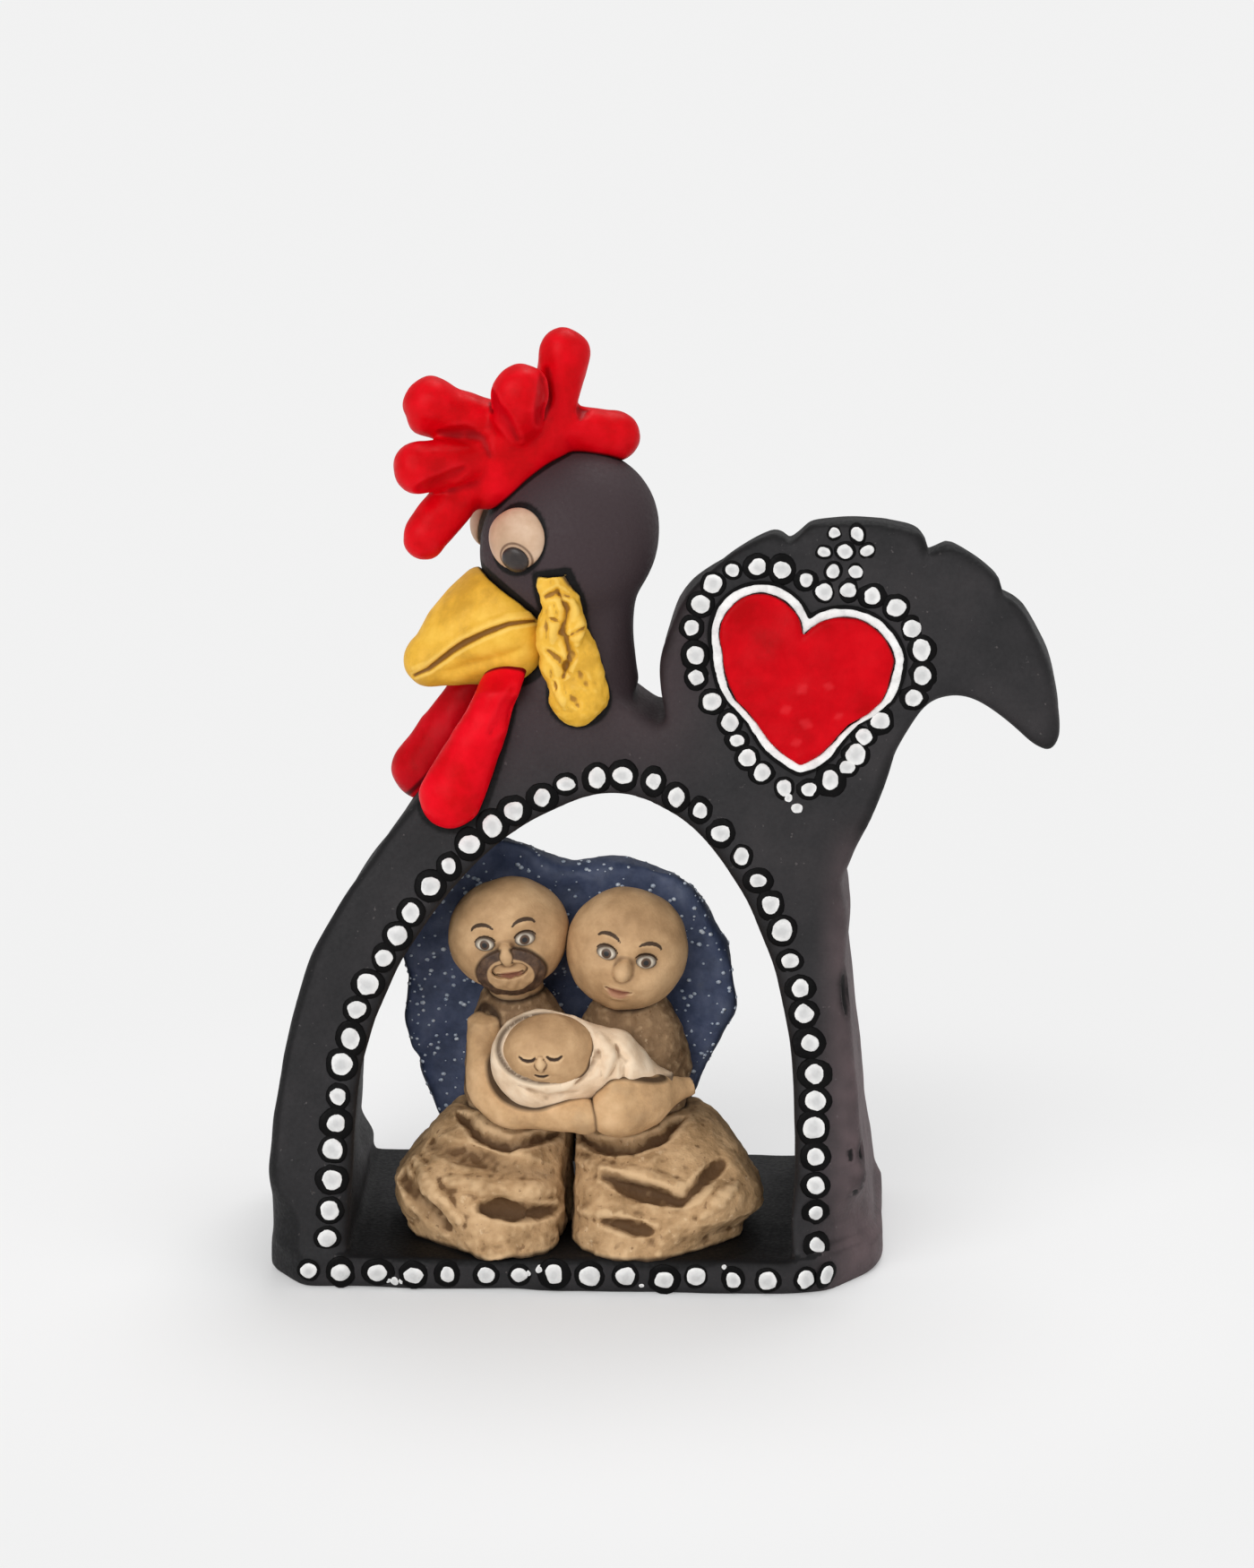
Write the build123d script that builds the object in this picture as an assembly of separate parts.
from build123d import *
import math
import os

# Folk rooster modelled in clay, with an open arch for a body and a family of three seated under it.
# Frame: +X towards the tail, -Y towards the viewer, +Z up. The origin is the middle of the base's underside.
# Every piece is rolled, cut or pinched by hand, then pressed on to the piece that carries it, so each one
# is trimmed by its neighbours and meets them face to face.

# Base plate: a rolled slab
base_width = 85.0
base_depth = 44.0
base_thickness = 4.5
base_corner = 7.0
base_edge = 0.8

# Wall: legs, chest and tail share one wedge of clay, deep at the floor and thin at the crest of the tail
crest_height = 101.0
crest_depth = 9.0
wall_round = 2.2
joint_depth = 6.0

# Opening of the arch, a lopsided superellipse on two nearly straight jambs
opening_foot_width = 62.4
opening_width = 58.8
opening_height = 65.4
spring_height = 22.0
crown_offset = 5.0
left_fullness = 1.72
right_fullness = 2.0
opening_round = 1.0
arch_points = 6

# Outer edge of the wall, from the left foot to the neck and from the neck's back to the right foot
left_edge = [(-41.2, 24.0), (-37.6, 40.0), (-29.8, 55.0), (-22.6, 63.4), (-13.0, 77.5)]
chest_back = [(8.9, 78.0), (11.4, 74.0)]
right_edge = [(38.6, 58.8), (36.1, 50.0), (36.6, 38.0), (38.4, 24.0)]
neck_seat = 78.0

# Tail: a sickle with three nicks along its crest
tail_front = [(9.9, 80.5), (12.2, 87.8), (18.2, 95.2), (25.5, 99.5)]
crest_offset = 34.8
tail_back = [(45.0, 99.5), (55.2, 93.6), (60.6, 85.5)]
tail_tip = [(62.9, 78.0), (62.3, 71.9), (57.6, 74.2)]
tail_under = [(52.5, 76.8), (46.8, 76.6), (42.6, 68.5)]
tail_round = 0.8
nick_places = [(28.0, 98.3), (45.8, 97.5), (55.7, 92.0)]
nick_slopes = [45.0, 20.0, 0.0]
nick_length = 4.6
nick_height = 3.0

# Neck and head
neck_front = -12.6
neck_waist = 7.8
neck_waist_height = 85.0
head_length = 25.4
head_radius = 11.3
head_lean = 40.0
head_height = 97.4
head_forward = 1.4
face_turn = 14.0

# Beak: a blunt cone laid on its side, with a mouth line cut into both cheeks
beak_length = 16.0
beak_tip = 3.5
beak_radius = 11.4
beak_round = 4.8
beak_droop = 23.5
beak_reach = 18.9
beak_drop = 15.4
mouth_start = 1.6
mouth_end = -14.4
mouth_low = 1.6
mouth_width = 1.1
mouth_depth = 0.9

# Eyes: flattened balls with a pellet for the pupil
eye_radius = 3.8
eye_bulge = 2.7
eye_spread = 40.0
eye_raise = 10.5
eye_sink = 0.5
pupil_radius = 1.6
pupil_bulge = 0.8
pupil_down = 40.0
pupil_out = 26.0

# Ear lobes and wattles, flattened drops
ear_length = 20.6
ear_width = 7.5
ear_root = 4.2
ear_bulge = 2.9
ear_lean = -11.5
ear_splay = 2.0
ear_top = (-3.9, 9.7, -2.2)
wattle_length = 24.0
wattle_width = 8.4
wattle_root = 4.4
wattle_bulge = 3.4
wattle_near_top = (-8.4, -10.6, 83.2)
wattle_near_lean = 24.0
wattle_far_top = (-12.6, 0.6, 83.0)
wattle_far_lean = 31.0

# Comb: a ridge on the crown with rolled fingers, each (angle from straight up, length, tip radius, side)
ridge_length = 18.5
ridge_width = 7.8
ridge_height = 13.0
ridge_rise = 3.2
ridge_angle = -33.0
finger_root = 2.8
fingers = [
    (-138.0, 9.8, 2.9, -2.0),
    (-89.0, 11.0, 3.3, -3.0),
    (-77.0, 15.4, 3.5, 1.5),
    (0.0, 8.1, 3.6, -4.5),
    (11.0, 9.6, 3.2, 0.0),
    (103.0, 8.6, 3.4, 1.0),
]
finger_starts = [-6.0, -2.0, 4.5, 0.8, 6.6, 6.6]

# Heart on the tail, with its painted border and rings of dots
heart_place = (29.4, 79.8)
heart_cleft = 6.4
heart_point = 11.2
heart_lobes = [(-5.3, 12.2), (6.2, 9.1)]
heart_sides = [(-10.4, 5.2), (12.2, 3.6)]
heart_bulges = [2.6, 2.8]
heart_height = 0.8
border_width = 1.3
border_height = 0.5
dot_radius = 1.25
dot_height = 0.8
dot_inset = 2.5
arch_dot_count = 41
base_dot_count = 16
base_dot_height = 2.4
heart_dot_count = 29
heart_dot_gap = 3.7
heart_dot = 1.1
rosette_place = (34.9, 97.3)
rosette_radius = 2.9
rosette_count = 6
rosette_dot = 1.0

# Seated family: robes, bodies, heads, arms, the child and the mantle behind them
robe_width = 24.0
robe_depth = 26.0
robe_height = 15.5
robe_corner = 8.0
knee_width = 21.6
knee_depth = 21.5
knee_height = 7.0
robe_waist_width = 15.8
robe_waist_depth = 14.0
robe_forward = 8.8
robe_gap = 0.4
man_folds = [(3.5, 6.8, 9.6, -4.0), (-7.4, 8.2, 7.8, -45.0), (-0.7, 12.2, 10.0, -18.0)]
woman_folds = [(-4.0, 8.6, 10.6, -20.0), (-5.6, 4.8, 6.4, -3.0), (4.6, 10.0, 7.6, 48.0)]
fold_width = 2.3
fold_depth = 1.2
figure_line = -0.5
body_width = 14.4
body_depth = 12.0
body_height = 16.5
body_forward = 3.2
collar_radius = 3.9
man_head_place = (-9.3, -6.0, 44.9)
man_head_size = (7.9, 7.0, 7.5)
man_head_tilt = -9.0
woman_head_place = (6.5, -6.6, 43.2)
woman_head_size = (8.0, 7.2, 8.2)
woman_head_tilt = 13.0
eye_spacing = 5.4
eye_up = 0.9
eye_half_width = 1.35
eye_half_height = 0.85
eye_proud = 0.55
nose_length = 3.0
nose_width = 1.1
nose_proud = 1.5
beard_width = 9.0
beard_height = 7.4
beard_thickness = 0.9
beard_hole = 2.0
arm_radius = 2.3
man_arm_bends = [(-12.6, -6.5, 32.5), (-12.2, -13.0, 22.8), (1.0, -15.8, 22.8)]
sleeve_length = 17.0
sleeve_width = 8.0
sleeve_root = 3.4
sleeve_bulge = 3.2
sleeve_lean = 84.0
sleeve_turn = 25.0
sleeve_elbow = (17.8, -9.6, 24.9)
child_head_size = (6.1, 4.6, 4.8)
child_head_place = (-4.2, -15.4, 31.6)
wrap_length = 23.6
wrap_width = 13.0
wrap_root = 5.0
wrap_bulge = 5.0
wrap_lean = 88.0
wrap_tail = (11.8, -13.6, 30.0)
mantle_thickness = 4.0
mantle_back = 4.6
mantle_edge = 1.2
mantle_left = [(-19.5, 18.0), (-24.0, 28.0), (-23.6, 37.0), (-23.0, 46.0)]
mantle_top = [(-16.0, 54.5), (-10.0, 56.0), (-1.3, 52.0), (6.0, 53.0), (12.5, 51.4)]
mantle_right = [(18.0, 43.5), (21.0, 34.0), (19.4, 25.5), (15.5, 18.0)]

# Frames that the pieces are placed in
lean_angle = math.atan((base_depth - crest_depth) / 2 / crest_height)
front = Plane(
    origin=(0, -base_depth / 2, 0),
    x_dir=(1, 0, 0),
    z_dir=(0, -math.cos(lean_angle), math.sin(lean_angle)),
)
beyond = 200.0


def half_depth(height):
    """Half the wall's depth at a height above the floor."""
    return (base_depth - (base_depth - crest_depth) * height / crest_height) / 2


def on_front(x, z, lift=0.0):
    """Frame on the wall's leaning front face."""
    return front * Pos(x, z / math.cos(lean_angle), lift)


def wedge():
    """Space between the wall's two leaning faces."""
    low, high = -3.0 * base_thickness, crest_height + 3.0 * base_thickness
    corners = [
        (-half_depth(low), low),
        (half_depth(low), low),
        (half_depth(high), high),
        (-half_depth(high), high),
    ]
    return extrude(Plane.YZ * make_face(Polyline(corners, close=True)), beyond, both=True)


def wall(outline, radius):
    """Wedge of clay with this front outline and its front and back edges rounded."""
    block = extrude(Plane.XZ * make_face(outline), beyond, both=True) & wedge()
    faces = [f for f in block.faces() if abs(f.normal_at().Y) > 0.9]
    return fillet([e for f in faces for e in f.edges()], radius)


def only(shape):
    """Largest solid of a shape."""
    return max(shape.solids(), key=lambda s: s.volume)


def apart(piece, neighbour):
    """True where the boxes round two pieces don't meet, so that neither can trim the other."""
    a = piece.bounding_box(optimal=False)
    b = neighbour.bounding_box(optimal=False)
    below = (a.max.X < b.min.X, a.max.Y < b.min.Y, a.max.Z < b.min.Z)
    above = (a.min.X > b.max.X, a.min.Y > b.max.Y, a.min.Z > b.max.Z)
    return any(below + above)


def trimmed(piece, *neighbours):
    """Piece cut back to the faces of the pieces that it is pressed on to."""
    for neighbour in neighbours:
        if not apart(piece, neighbour):
            piece = piece - neighbour
    return only(piece)


def ellipsoid(rx, ry, rz):
    return scale(Sphere(1.0), by=(rx, ry, rz))


def club(root, tip, root_radius, tip_radius):
    """Rolled finger of clay with a round tip, from its root to the centre of its tip."""
    run = Vector(tip) - Vector(root)
    profile = make_face(
        [
            Line((0, 0), (root_radius, 0)),
            Line((root_radius, 0), (tip_radius, run.length)),
            CenterArc((0, run.length), tip_radius, 0, 90),
            Line((0, run.length + tip_radius), (0, 0)),
        ]
    )
    return Plane(origin=root, z_dir=run) * revolve(Plane.XZ * profile, Axis.Z)


def drop(length, width, root_width, bulge):
    """Flattened drop of clay that hangs from its narrow end at the origin; the bulge is half its thickness."""
    radius, root = width / 2, root_width / 2
    middle = length - radius
    turn = math.atan2(middle, root) - math.acos(radius / math.hypot(middle, root))
    edge = [
        Line((0, 0), (root, 0)),
        Line((root, 0), (radius * math.cos(turn), radius * math.sin(turn) - middle)),
        CenterArc((0, -middle), radius, math.degrees(turn), -90 - math.degrees(turn)),
        Line((0, -length), (0, 0)),
    ]
    solid = revolve(Plane.XZ * make_face(edge), Axis.Z)
    return scale(solid, by=(1, bulge / radius, 1))


# Arch, chest and tail

def arch_curve(grow=0.0):
    """Points of the opening's edge from the left foot to the right, or of a line that far outside it."""
    rise = opening_height - spring_height + grow
    points = [(-opening_foot_width / 2 - grow, 0.0)]
    for side in (-1, 1):
        span = opening_width / 2 - side * crown_offset + grow
        fullness = left_fullness if side < 0 else right_fullness
        turns = range(arch_points) if side < 0 else range(arch_points, -1, -1)
        for step in turns:
            angle = math.pi / 2 * step / arch_points
            across = math.cos(angle) ** (2 / fullness)
            up = math.sin(angle) ** (2 / fullness)
            points.append((crown_offset + side * span * across, spring_height + rise * up))
    points.append((opening_foot_width / 2 + grow, 0.0))
    return points


def opening():
    """Hole of the arch, right through the wall and down past the base."""
    points = arch_curve()
    below = -2 * base_thickness
    left, right = (points[0][0], below), (points[-1][0], below)
    edge = [Spline(points), Line(points[-1], right), Line(right, left), Line(left, points[0])]
    return extrude(Plane.XZ * make_face(edge), beyond, both=True)


def tail_joint():
    """Plane that parts the tail from the body, facing up into the tail."""
    run = Vector(right_edge[1][0], 0, right_edge[1][1] + joint_depth) - Vector(
        chest_back[1][0], 0, chest_back[1][1]
    )
    normal = Vector(-run.Z, 0, run.X)
    return Plane(origin=(chest_back[1][0], 0, chest_back[1][1]), x_dir=run, z_dir=normal)


def make_body():
    """Arch with its two legs and the chest, flat where the neck, the tail and the base join it."""
    foot = -2 * base_thickness
    left_foot, right_foot = (-base_width / 2, foot), (base_width / 2 - 0.9, foot)
    top = neck_seat + joint_depth
    left = Spline([left_foot, (-base_width / 2 + 0.2, 8.0), *left_edge, (neck_front, top)])
    back = Spline(
        [
            (chest_back[0][0] - 0.8, top),
            *chest_back,
            (chest_back[1][0] + 10.0, chest_back[1][1] - 2.0),
            (right_edge[0][0] - 6.0, right_edge[0][1] + 8.0),
        ]
    )
    right = Spline([right_edge[0], *right_edge[1:], (base_width / 2 - 1.4, 8.0), right_foot])
    outline = [
        left,
        Line(left @ 1, back @ 0),
        back,
        Line(back @ 1, right @ 0),
        right,
        Line(right @ 1, left @ 0),
    ]
    solid = wall(outline, wall_round) - opening()
    edge = Wire(Plane.XZ * Spline(arch_curve()))
    rim = [e for e in solid.edges() if on_rim(e, edge)]
    solid = fillet(rim, opening_round)
    for plane in (Plane.XY.offset(base_thickness), Plane.XY.offset(neck_seat).rotated((180, 0, 0))):
        solid = split(solid, plane, Keep.TOP)
    return only(split(solid, tail_joint(), Keep.BOTTOM))


def on_rim(edge, curve):
    """True for an edge that runs along the opening on the wall's front or back face."""
    middle = edge @ 0.5
    level = abs(abs(middle.Y) - half_depth(middle.Z)) < 0.01
    return level and curve.distance_to(Vector(middle.X, 0, middle.Z)) < 0.05


def make_tail():
    """Sickle tail, nicked along its crest and flat where it stands on the body."""
    hidden = (chest_back[1][0] + 3.0, chest_back[1][1] - joint_depth - 4.0)
    edge = Spline(
        [
            hidden,
            chest_back[1],
            *tail_front,
            (crest_offset, crest_height),
            *tail_back,
            *tail_tip,
            *tail_under,
            *right_edge[:2],
        ]
    )
    solid = wall([edge, Line(edge @ 1, hidden)], tail_round)
    for (x, z), slope in zip(nick_places, nick_slopes):
        nick = make_face(
            Polyline((0, 0), (nick_length, 0), (-0.2 * nick_height, nick_height), close=True)
        )
        solid -= extrude(Plane.XZ * (Pos(x, z) * Rot(0, 0, slope) * nick), beyond, both=True)
    return only(split(only(solid), tail_joint(), Keep.TOP))


# Neck, head and what is pressed on to them
face = Pos(-head_forward, 0, head_height) * Rot(0, 0, face_turn)


def make_head_egg():
    """Head, a leaning egg turned towards the viewer."""
    profile = make_face(
        [
            EllipticalCenterArc((0, 0), head_radius, head_length / 2, -90, arc_size=180),
            Line((0, head_length / 2), (0, -head_length / 2)),
        ]
    )
    return face * Rot(0, head_lean, 0) * revolve(Plane.XZ * profile, Axis.Z)


def make_neck(head):
    """Neck that flares on to the chest and is cupped for the head."""
    seat_radius = (chest_back[0][0] - neck_front) / 2
    seat_centre = (chest_back[0][0] + neck_front) / 2
    sections = [
        Pos(seat_centre, 0, neck_seat) * Ellipse(seat_radius, half_depth(neck_seat)),
        Pos(-0.1, 0, neck_waist_height) * Ellipse(neck_waist, 0.98 * neck_waist),
        Pos(-head_forward, 0, head_height) * Ellipse(0.8 * head_radius, 0.78 * head_radius),
    ]
    return trimmed(loft(sections), head)


def head_reach(direction):
    """Distance from the head's centre to its surface in a direction of the face's frame."""
    lean = math.radians(head_lean)
    along = direction.X * math.sin(lean) + direction.Z * math.cos(lean)
    return 1 / math.sqrt((along / (head_length / 2)) ** 2 + (1 - along**2) / head_radius**2)


def beak_shape(shrink=0.0):
    """Blunt cone of the beak with its tip along +Z, or the same cone with a layer taken off."""
    cone = club((0, 0, -beak_length), (0, 0, 0), beak_radius - shrink, beak_tip - shrink)
    return fillet(cone.edges().sort_by(Axis.Z)[0], beak_round)


def make_beak(*neighbours):
    """Drooping cone with a crescent cut along each cheek for the mouth."""
    droop = math.radians(beak_droop)
    set_out = Plane(
        origin=(-beak_reach, 0, -beak_drop),
        x_dir=(0, 1, 0),
        z_dir=(-math.cos(droop), 0, -math.sin(droop)),
    )
    start, end = (0.5 * mouth_low, mouth_start), (mouth_low, mouth_end)
    middle = (mouth_start + mouth_end) / 2
    upper = ThreePointArc(start, (mouth_low - mouth_width / 2, middle), end)
    lower = ThreePointArc(end, (mouth_low + mouth_width / 2, middle), start)
    slit = extrude(Plane.YZ * make_face([upper, lower]), beyond, both=True)
    cone = trimmed(face * (set_out * beak_shape()), *neighbours)
    return only(cone - face * (set_out * (slit - beak_shape(mouth_depth))))


def eye_frame(side):
    """Frame on the head's surface for an eye, with its normal outwards and its Y upwards."""
    spread, rise = math.radians(eye_spread), math.radians(eye_raise)
    out = Vector(
        -math.cos(spread) * math.cos(rise), side * math.sin(spread) * math.cos(rise), math.sin(rise)
    )
    across = Vector(0, 0, 1).cross(out)
    return Plane(origin=out * (head_reach(out) - eye_sink), x_dir=across, z_dir=out)


def make_eye(side, *neighbours):
    ball = eye_frame(side) * ellipsoid(eye_radius, 1.06 * eye_radius, eye_bulge)
    return trimmed(face * ball, *neighbours)


def make_pupil(side, *neighbours):
    """Pellet on the lower half of an eye, turned away from the beak."""
    down, out = math.radians(pupil_down), math.radians(-side * pupil_out)
    tall = 1.06 * eye_radius
    toward = (math.sin(out) * math.cos(down), -math.sin(down), math.cos(out) * math.cos(down))
    place = Plane(
        origin=(eye_radius * toward[0], tall * toward[1], eye_bulge * toward[2]),
        x_dir=(1, 0, 0),
        z_dir=(toward[0] / eye_radius, toward[1] / tall, toward[2] / eye_bulge),
    )
    pellet = place * ellipsoid(pupil_radius, 1.15 * pupil_radius, pupil_bulge)
    return trimmed(face * (eye_frame(side) * pellet), *neighbours)


def make_ear(side, *neighbours):
    """Ear lobe that hangs from the side of the head on to the chest."""
    x, y, z = ear_top
    lobe = Rot(-side * ear_splay, ear_lean, 0) * drop(ear_length, ear_width, ear_root, ear_bulge)
    return trimmed(face * Pos(x, side * y, z) * lobe, *neighbours)


def make_wattle(top, lean, *neighbours):
    """Wattle that hangs from under the beak."""
    lobe = Rot(0, lean, 0) * drop(wattle_length, wattle_width, wattle_root, wattle_bulge)
    return trimmed(Pos(*top) * lobe, *neighbours)


def ridge_point(along):
    """Point on the comb's ridge, that far behind its middle, in the face's frame."""
    angle = math.radians(ridge_angle)
    out = Vector(math.sin(angle), 0, math.cos(angle))
    return out * (head_reach(out) + ridge_rise) + Vector(math.cos(angle), 0, -math.sin(angle)) * along


def make_comb(*neighbours):
    """Comb: the ridge first, then each finger trimmed by the ridge and by the fingers before it."""
    roll = ellipsoid(ridge_length / 2, ridge_width / 2, ridge_height / 2)
    ridge = Pos(ridge_point(0)) * Rot(0, ridge_angle, 0) * roll
    pieces = [trimmed(face * ridge, *neighbours)]
    for (angle, length, tip_radius, side), start in zip(fingers, finger_starts):
        turn = math.radians(angle)
        root = ridge_point(start)
        tip = root + Vector(length * math.sin(turn), side, length * math.cos(turn))
        finger = face * club(root, tip, finger_root, tip_radius)
        pieces.append(trimmed(finger, *neighbours, *pieces))
    return pieces


# Heart and dots on the wall's front

def heart_face():
    """Lopsided heart outline about its middle, point down, with a full left lobe and a low right one."""
    cleft, point = Vector(0, heart_cleft), Vector(0, -heart_point)
    edges = []
    for lobe, side, bulge in zip(heart_lobes, heart_sides, heart_bulges):
        run = point - Vector(side)
        out = Vector(math.copysign(run.Y, side[0]), -abs(run.X)).normalized()
        belly = (Vector(side) + point) / 2 + out * bulge
        edges.append(ThreePointArc(cleft, lobe, side))
        edges.append(ThreePointArc(side, belly, point))
    return make_face(edges)


def heart_frame():
    return on_front(*heart_place)


def make_heart():
    solid = extrude(heart_face(), heart_height)
    return heart_frame() * fillet(solid.faces().sort_by(Axis.Z)[-1].edges(), 0.5 * heart_height)


def make_border():
    ring = offset(heart_face(), border_width) - heart_face()
    return heart_frame() * extrude(ring, border_height)


def dot(radius):
    """Drop of thick paint with a flat underside."""
    ball = (radius**2 + dot_height**2) / (2 * dot_height)
    low = math.degrees(math.asin((ball - dot_height) / ball))
    edge = [
        CenterArc((0, dot_height - ball), ball, low, 90 - low),
        Line((0, dot_height), (0, 0)),
        Line((0, 0), (radius, 0)),
    ]
    return revolve(Plane.XZ * make_face(edge), Axis.Z)


def make_arch_dots():
    """Dots in a row round the opening, clear of the base at both ends."""
    line = Spline(arch_curve(dot_inset))
    low = (base_thickness + 2 * dot_radius) / line.length
    spots = [line @ (low + (1 - 2 * low) * i / (arch_dot_count - 1)) for i in range(arch_dot_count)]
    return Compound(children=[on_front(p.X, p.Y) * dot(dot_radius) for p in spots])


def make_base_dots():
    """Dots in a row along the base's front."""
    span = base_width - 2 * base_corner
    row = [span * (i / (base_dot_count - 1) - 0.5) for i in range(base_dot_count)]
    edge = Plane(origin=(0, -base_depth / 2, base_dot_height), x_dir=(1, 0, 0), z_dir=(0, -1, 0))
    return Compound(children=[edge * Pos(x, 0) * dot(dot_radius) for x in row])


def make_heart_dots():
    """Dots that follow the heart's outline outside its border."""
    line = offset(heart_face(), heart_dot_gap).wire()
    spots = [line @ (i / heart_dot_count) for i in range(heart_dot_count)]
    return Compound(children=[heart_frame() * Pos(p) * dot(heart_dot) for p in spots])


def make_rosette():
    x, z = rosette_place
    spots = [Pos(0, 0)]
    for i in range(rosette_count):
        angle = 2 * math.pi * i / rosette_count
        spots.append(Pos(rosette_radius * math.cos(angle), rosette_radius * math.sin(angle)))
    return Compound(children=[on_front(x, z) * spot * dot(rosette_dot) for spot in spots])


# Family under the arch; side is -1 for the man and 1 for the woman

def abreast(width, side):
    """Middle of a piece of this width that stands beside the line between the two figures."""
    return figure_line + side * (width + robe_gap) / 2


def make_robe(side, folds):
    """Flared robe with folds gouged into its front, each (place across, height, length, slope)."""
    middle = abreast(robe_width, side)
    sections = [
        Pos(middle, -robe_forward, base_thickness) * RectangleRounded(robe_width, robe_depth, robe_corner),
        Pos(abreast(knee_width, side), -robe_forward, base_thickness + knee_height)
        * RectangleRounded(knee_width, knee_depth, robe_corner),
        Pos(abreast(robe_waist_width, side), -body_forward, base_thickness + robe_height)
        * Ellipse(robe_waist_width / 2, robe_waist_depth / 2),
    ]
    robe = loft(sections)
    cloth = robe
    for across, height, length, slope in folds:
        sight = Axis((middle + across, -beyond, base_thickness + height), (0, 1, 0))
        spot, normal = min(cloth.find_intersection_points(sight), key=lambda hit: hit[0].Y)
        seat = Plane(origin=spot, x_dir=Vector(0, 0, 1).cross(normal), z_dir=normal)
        robe -= seat * Rot(0, 0, slope) * ellipsoid(length / 2, fold_width / 2, fold_depth)
    return only(robe)


def collar(side):
    """Middle of a figure's collar."""
    place = man_head_place if side < 0 else woman_head_place
    middle = abreast(body_width, side)
    return Vector((middle + place[0]) / 2, -body_forward, base_thickness + robe_height + body_height)


def make_torso(side):
    """Upper body that narrows to the collar."""
    waist = base_thickness + robe_height
    middle = abreast(body_width, side)
    sections = [
        Pos(middle, -body_forward, waist) * Ellipse(body_width / 2, body_depth / 2),
        Pos(middle, -body_forward, waist + 0.55 * body_height)
        * Ellipse(body_width / 2, 0.96 * body_depth / 2),
        Pos(collar(side)) * Circle(collar_radius),
    ]
    return loft(sections)


def head_frame(side):
    place, tilt = (man_head_place, man_head_tilt) if side < 0 else (woman_head_place, woman_head_tilt)
    return Pos(*place) * Rot(0, tilt, 0)


def make_head(side, *neighbours):
    """Ball of a head on a short neck, with a pinched nose in the middle of the face."""
    rx, ry, rz = man_head_size if side < 0 else woman_head_size
    ball = head_frame(side) * ellipsoid(rx, ry, rz)
    bridge = Pos(0, -ry, -0.1 * rz) * Rot(-12, 0, 0)
    nose = head_frame(side) * bridge * ellipsoid(nose_width, nose_proud, nose_length / 2)
    low = collar(side) - Vector(0, 0, 2.0)
    place = man_head_place if side < 0 else woman_head_place
    neck = club(low, place, collar_radius, 0.6 * collar_radius)
    return trimmed(ball + nose + neck, *neighbours)


def make_eyes(side, head):
    """Two flat pellets halfway up the face, with an eye's width between them."""
    rx, ry, rz = man_head_size if side < 0 else woman_head_size
    pellets = []
    for across in (-eye_spacing / 2, eye_spacing / 2):
        deep = -ry * math.sqrt(1 - (across / rx) ** 2 - (eye_up / rz) ** 2)
        swing = math.degrees(math.asin(across / rx))
        pellet = Rot(0, 0, swing) * ellipsoid(eye_half_width, eye_proud, eye_half_height)
        pellets.append(trimmed(head_frame(side) * Pos(across, deep, eye_up) * pellet, head))
    return Compound(children=pellets)


def make_beard(head, *neighbours):
    """Moustache and chin beard in one ring round the mouth."""
    rx, ry, rz = man_head_size
    skin = ellipsoid(rx + beard_thickness, ry + beard_thickness, rz + beard_thickness)
    hole = Pos(0, 0.1 * beard_height) * Ellipse(1.3 * beard_hole, 0.7 * beard_hole)
    ring = Ellipse(beard_width / 2, beard_height / 2) - hole
    tube = extrude(Plane.XZ * (Pos(0, -0.5 * rz) * ring), beyond)
    return trimmed(head_frame(-1) * (skin & tube), head, *neighbours)


def make_arm(shoulder, elbow, hand, *neighbours):
    """Rolled coil bent at the elbow, with round ends."""
    path = FilletPolyline(shoulder, elbow, hand, radius=2 * arm_radius)
    start = Plane(origin=path @ 0, z_dir=path % 0)
    coil = sweep(start * Circle(arm_radius), path=path)
    coil += Pos(path @ 0) * Sphere(arm_radius)
    coil += Pos(path @ 1) * Sphere(arm_radius)
    return trimmed(coil, *neighbours)


def make_sleeve(*neighbours):
    """The woman's sleeve, a drop laid across the front with its narrow end at the elbow."""
    lobe = Rot(0, sleeve_lean, 0) * drop(sleeve_length, sleeve_width, sleeve_root, sleeve_bulge)
    return trimmed(Pos(*sleeve_elbow) * Rot(0, 0, sleeve_turn) * lobe, *neighbours)


def make_wrap(*neighbours):
    """Swaddling round the child: a drop laid across the arms, full round the head."""
    bundle = Rot(0, wrap_lean, 0) * drop(wrap_length, wrap_width, wrap_root, wrap_bulge)
    return trimmed(Pos(*wrap_tail) * bundle, *neighbours)


def make_mantle(*neighbours):
    """Cloak spread behind both heads and pressed against the arch at its upper left."""
    low = base_thickness + 0.4 * robe_height
    left_low, right_low = (mantle_left[0][0] + 2.0, low), (mantle_right[-1][0] - 1.0, low)
    edge = Spline([left_low, *mantle_left, *mantle_top, *mantle_right, right_low])
    sheet = Plane.XZ.offset(-mantle_back) * make_face([edge, Line(right_low, left_low)])
    solid = extrude(sheet, mantle_thickness)
    rims = [e for f in solid.faces() if abs(f.normal_at().Y) > 0.9 for e in f.edges()]
    return trimmed(fillet(rims, mantle_edge), *neighbours)


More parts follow.
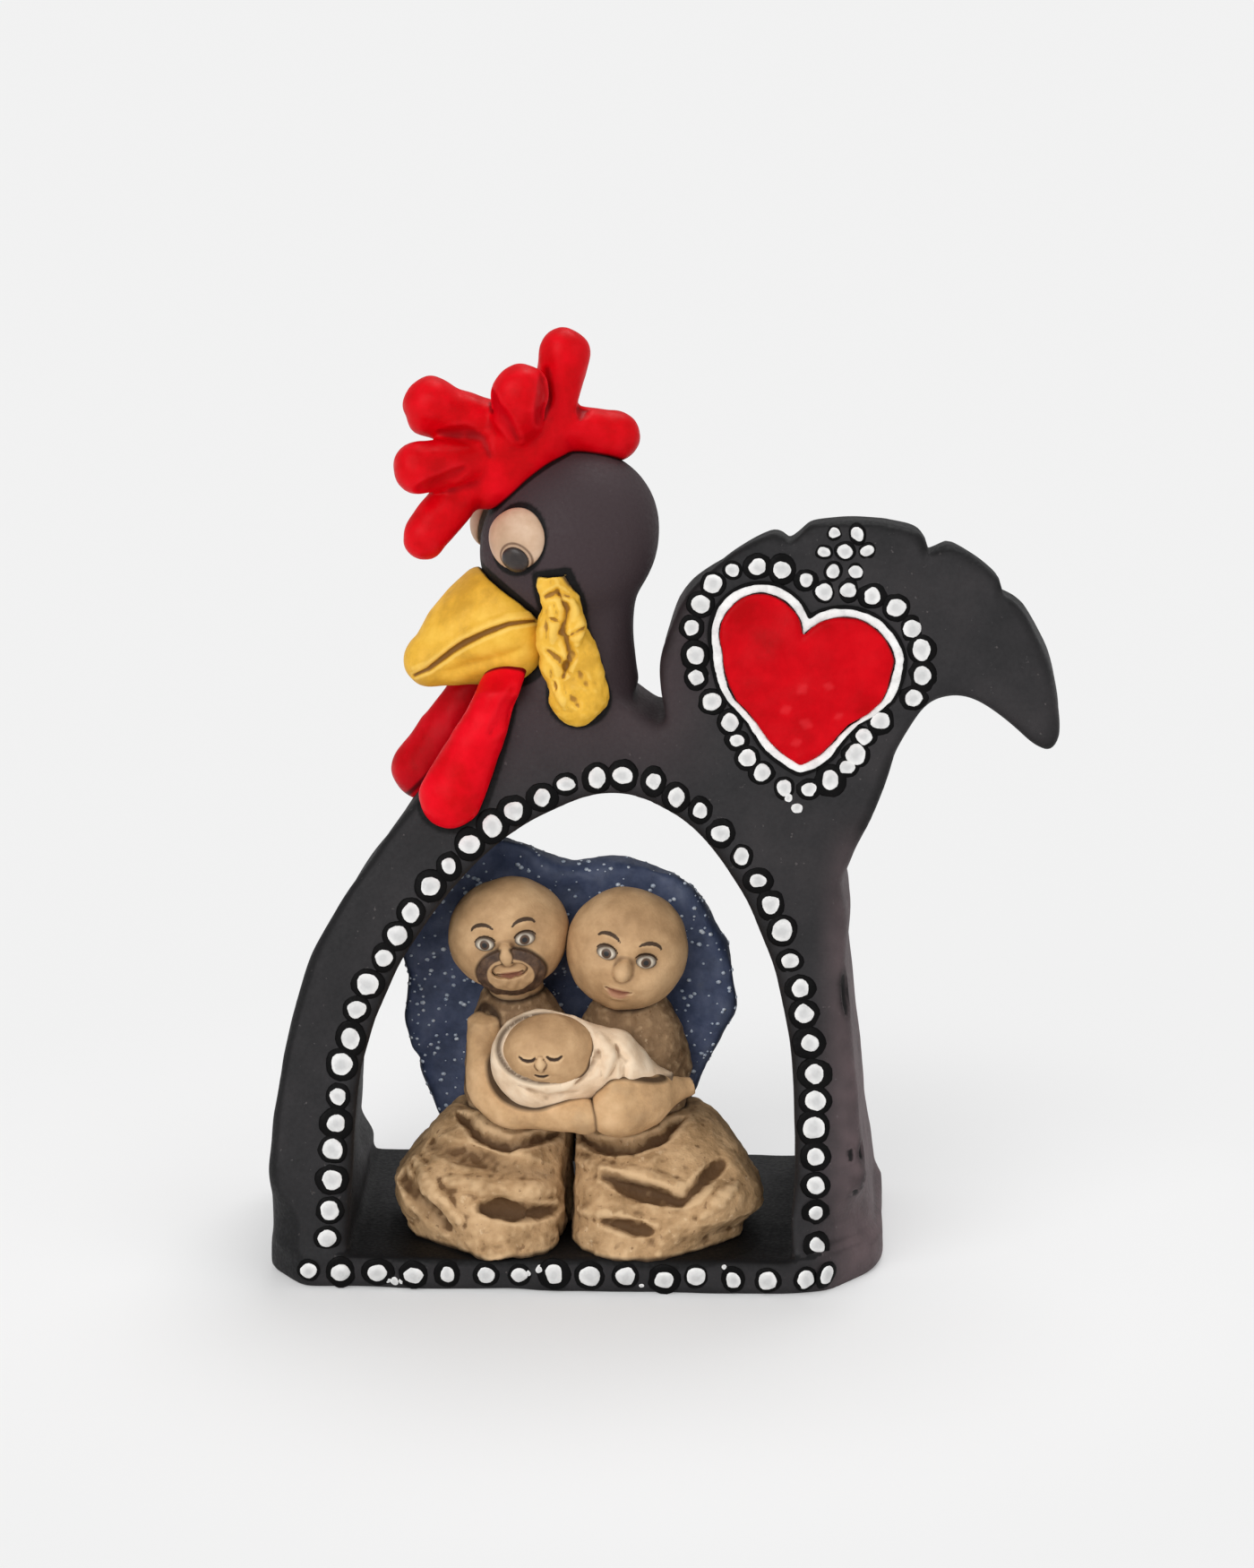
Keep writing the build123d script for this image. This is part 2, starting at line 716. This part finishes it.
# Assembly, each piece trimmed by the ones that were there before it
base_plate = extrude(RectangleRounded(base_width, base_depth, base_corner), base_thickness)
base_plate = fillet(base_plate.faces().sort_by(Axis.Z)[0].edges(), base_edge)
body = make_body()
tail = make_tail()
head = make_head_egg()
neck = make_neck(head)
beak = make_beak(neck, head)
eyes = [make_eye(side, head, beak) for side in (-1, 1)]
pupils = [make_pupil(side, eye, head, beak) for side, eye in zip((-1, 1), eyes)]
ears = [make_ear(side, head, neck, body, beak) for side in (-1, 1)]
wattle_near = make_wattle(wattle_near_top, wattle_near_lean, body, neck, beak)
wattle_far = make_wattle(wattle_far_top, wattle_far_lean, body, neck, beak, wattle_near)
comb = make_comb(head, *eyes)
man_robe = make_robe(-1, man_folds)
woman_robe = make_robe(1, woman_folds)
man_torso = make_torso(-1)
woman_torso = trimmed(make_torso(1), man_torso)
man_head = make_head(-1, man_torso, woman_torso)
woman_head = make_head(1, man_torso, woman_torso, man_head)
man_beard = make_beard(man_head, woman_head, man_torso)
man_arm = make_arm(*man_arm_bends, man_torso, man_robe, woman_robe, woman_torso)
woman_arm = make_sleeve(woman_torso, woman_robe, man_robe, man_torso, man_arm)
laps = (man_torso, woman_torso, man_arm, woman_arm, man_robe, woman_robe)
child_head = trimmed(Pos(*child_head_place) * ellipsoid(*child_head_size), *laps, man_beard)
wrap = make_wrap(child_head, *laps, man_head, woman_head, man_beard)
mantle = make_mantle(body, man_robe, woman_robe, man_torso, woman_torso, man_head, woman_head)

pieces = {
    "base_plate": base_plate,
    "body_arch": body,
    "tail": tail,
    "neck": neck,
    "head": head,
    "beak": beak,
    "eye_near": eyes[0],
    "eye_far": eyes[1],
    "pupil_near": pupils[0],
    "pupil_far": pupils[1],
    "ear_near": ears[0],
    "ear_far": ears[1],
    "wattle_near": wattle_near,
    "wattle_far": wattle_far,
    "comb_ridge": comb[0],
    "heart": make_heart(),
    "heart_border": make_border(),
    "arch_dots": make_arch_dots(),
    "base_dots": make_base_dots(),
    "heart_dots": make_heart_dots(),
    "rosette_dots": make_rosette(),
    "man_robe": man_robe,
    "woman_robe": woman_robe,
    "man_torso": man_torso,
    "woman_torso": woman_torso,
    "man_head": man_head,
    "woman_head": woman_head,
    "man_beard": man_beard,
    "man_eyes": make_eyes(-1, man_head),
    "woman_eyes": make_eyes(1, woman_head),
    "man_arm": man_arm,
    "woman_arm": woman_arm,
    "child_head": child_head,
    "child_wrap": wrap,
    "mantle": mantle,
}
for number, finger in enumerate(comb[1:], start=1):
    pieces[f"comb_finger_{number}"] = finger

os.makedirs("parts", exist_ok=True)
for name, shape in pieces.items():
    export_step(shape, f"parts/{name}.step")
